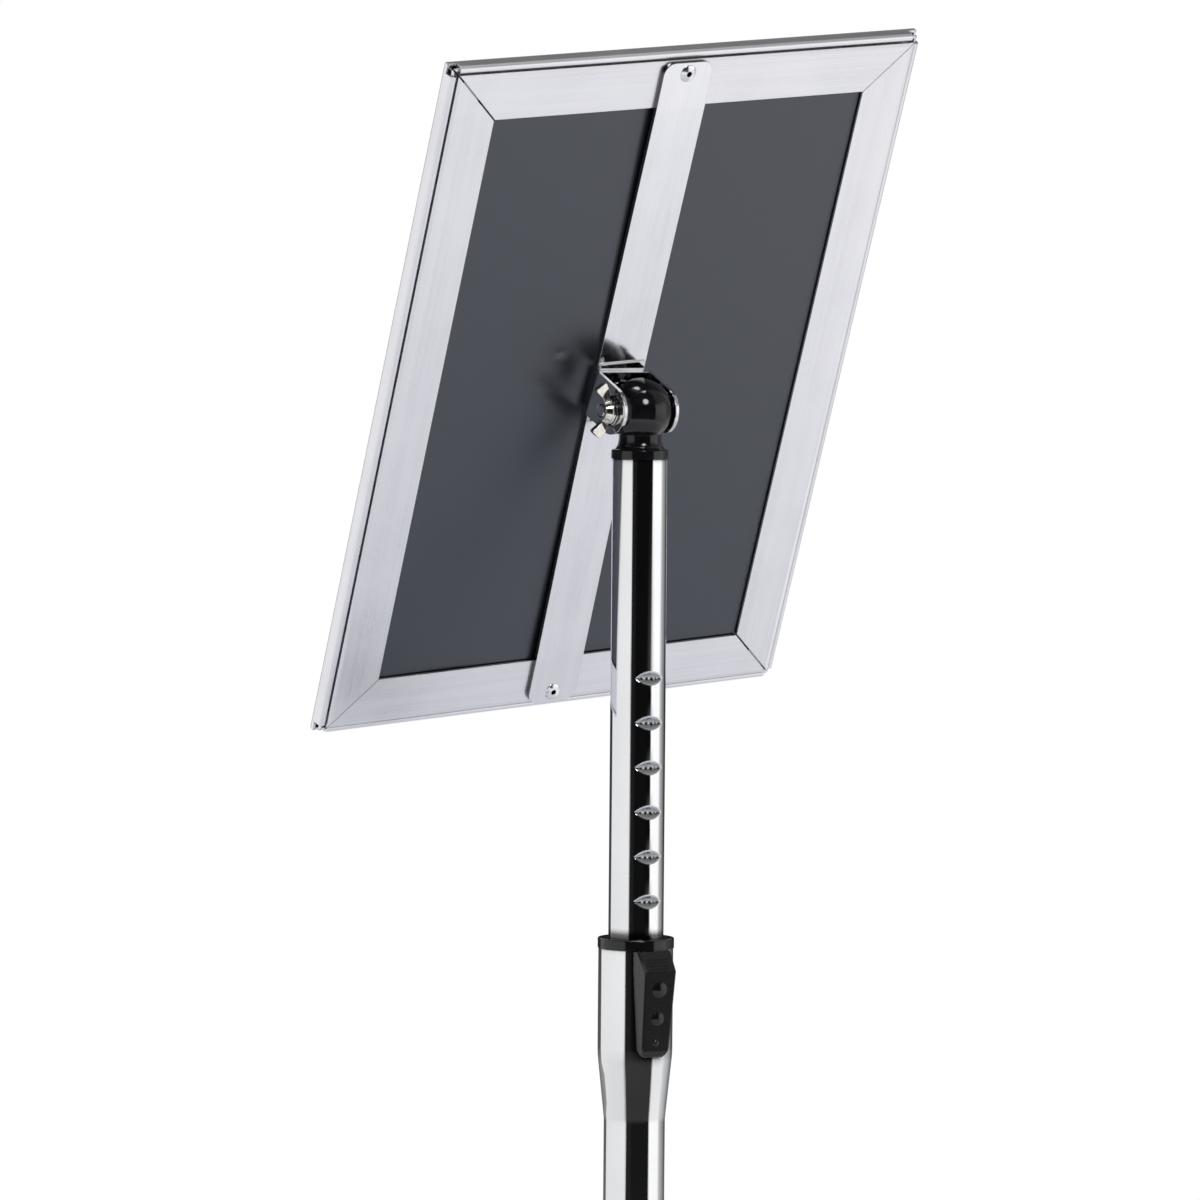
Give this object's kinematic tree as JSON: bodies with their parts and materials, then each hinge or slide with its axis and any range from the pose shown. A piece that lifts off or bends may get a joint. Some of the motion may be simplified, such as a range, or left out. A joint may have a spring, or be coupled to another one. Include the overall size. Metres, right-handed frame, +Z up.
{
  "type": "floor sign stand",
  "caption": "Floor sign stand with a weighted base, a telescopic chromed pole with a thumb latch, and a tilting, turning snap frame for a sheet.",
  "frame": {"origin": "on the floor under the middle of the base plate", "axes": "+Z up along the pole; the sign's front faces -Y and up, its back with the bracket faces +Y; the wing nut is on the +X side"},
  "size_m": [0.3, 0.3, 1.3232],
  "materials": {
    "chromed_steel": "mirror chrome plate",
    "nickel": "bright nickel plate on a cast nut",
    "black_plastic": "glossy moulded",
    "matt_black_plastic": "fine moulded texture",
    "aluminium": "brushed lengthwise, clear anodised",
    "grey_panel": "smooth matt",
    "paper": "plain white sheet",
    "clear_sheet": "clear, slight sheen",
    "steel": "zinc plated",
    "base_paint": "fine powder coat",
    "rubber": "plain"
  },
  "bodies": {
    "stand": {"base_plate": "base_paint", "base_feet": "rubber", "base_bolt": "steel", "tube_plug": "steel", "base_rosette": "chromed_steel", "outer_tube": "chromed_steel", "guide_sleeve": "black_plastic", "latch_base": "matt_black_plastic", "latch_spring": "steel"},
    "latch": {"latch_slider": "matt_black_plastic"},
    "roller": {"locking_roller": "steel"},
    "mast": {"upper_tube": "chromed_steel", "ball_head": "black_plastic", "lower_bush": "matt_black_plastic"},
    "bracket": {"clevis_bracket": "chromed_steel", "clevis_bolt": "chromed_steel", "swivel_rivet": "chromed_steel"},
    "washer": {"clamp_washer": "chromed_steel"},
    "nut": {"wing_nut": "nickel"},
    "sign": {"friction_plate": "chromed_steel", "strap": "aluminium", "strap_rivets": "aluminium", "back_panel": "grey_panel", "insert_sheet": "paper", "clear_cover": "clear_sheet", "frame_top": "aluminium", "frame_bottom": "aluminium", "frame_left": "aluminium", "frame_right": "aluminium", "corner_brackets": "steel", "leaf_springs": "steel"},
    "rail_top": {"rail_top": "aluminium"},
    "rail_bottom": {"rail_bottom": "aluminium"},
    "rail_left": {"rail_left": "aluminium"},
    "rail_right": {"rail_right": "aluminium"}
  },
  "joints": [
    {"name": "height_slide", "type": "slide", "parent": "stand", "child": "mast", "axis": [0, 0, 1], "range_m": [-0.1414, 0.2424]},
    {"name": "tilt_hinge", "type": "hinge", "parent": "mast", "child": "bracket", "pos_m": [0, 0, 1.15], "axis": [-1, 0, 0], "range_deg": [-24, 147]},
    {"name": "nut_turn", "type": "hinge", "parent": "washer", "child": "nut", "pos_m": [0.0195, 0, 1.15], "axis": [1, 0, 0], "range_deg": [0, 360]},
    {"name": "washer_slide", "type": "slide", "parent": "bracket", "child": "washer", "axis": [1, 0, 0], "range_m": [0, 0.001]},
    {"name": "sign_turn", "type": "hinge", "parent": "bracket", "child": "sign", "pos_m": [0.0013, -0.01902, 1.15948], "axis": [0, 0.8949, -0.4462], "continuous": true},
    {"name": "latch_slide", "type": "slide", "parent": "stand", "child": "latch", "axis": [0, 0, -1], "range_m": [0, 0.004], "stiffness_N_per_m": 400, "springref_m": -0.003, "deforming": ["latch_spring"]},
    {"name": "roller_slide", "type": "slide", "parent": "stand", "child": "roller", "axis": [0.1426, 0.9898, 0], "range_m": [0, 0.001]},
    {"name": "rail_top_hinge", "type": "hinge", "parent": "sign", "child": "rail_top", "pos_m": [0.01422, 0.05456, 1.30964], "axis": [-0.9962, 0.0389, 0.078], "range_deg": [0, 85]},
    {"name": "rail_right_hinge", "type": "hinge", "parent": "sign", "child": "rail_right", "pos_m": [0.12197, -0.02408, 1.15189], "axis": [0.0872, 0.4445, 0.8915], "range_deg": [0, 85]},
    {"name": "rail_bottom_hinge", "type": "hinge", "parent": "sign", "child": "rail_bottom", "pos_m": [-0.01475, -0.09319, 1.01329], "axis": [0.9962, -0.0389, -0.078], "range_deg": [0, 85]},
    {"name": "rail_left_hinge", "type": "hinge", "parent": "sign", "child": "rail_left", "pos_m": [-0.1225, -0.01454, 1.17104], "axis": [-0.0872, -0.4445, -0.8915], "range_deg": [0, 85]}
  ],
  "couplings": [
    {"joint": "roller_slide", "follows": "latch_slide", "ratio": 0.25},
    {"joint": "washer_slide", "follows": "nut_turn", "m_per_rad": 0.000159}
  ]
}
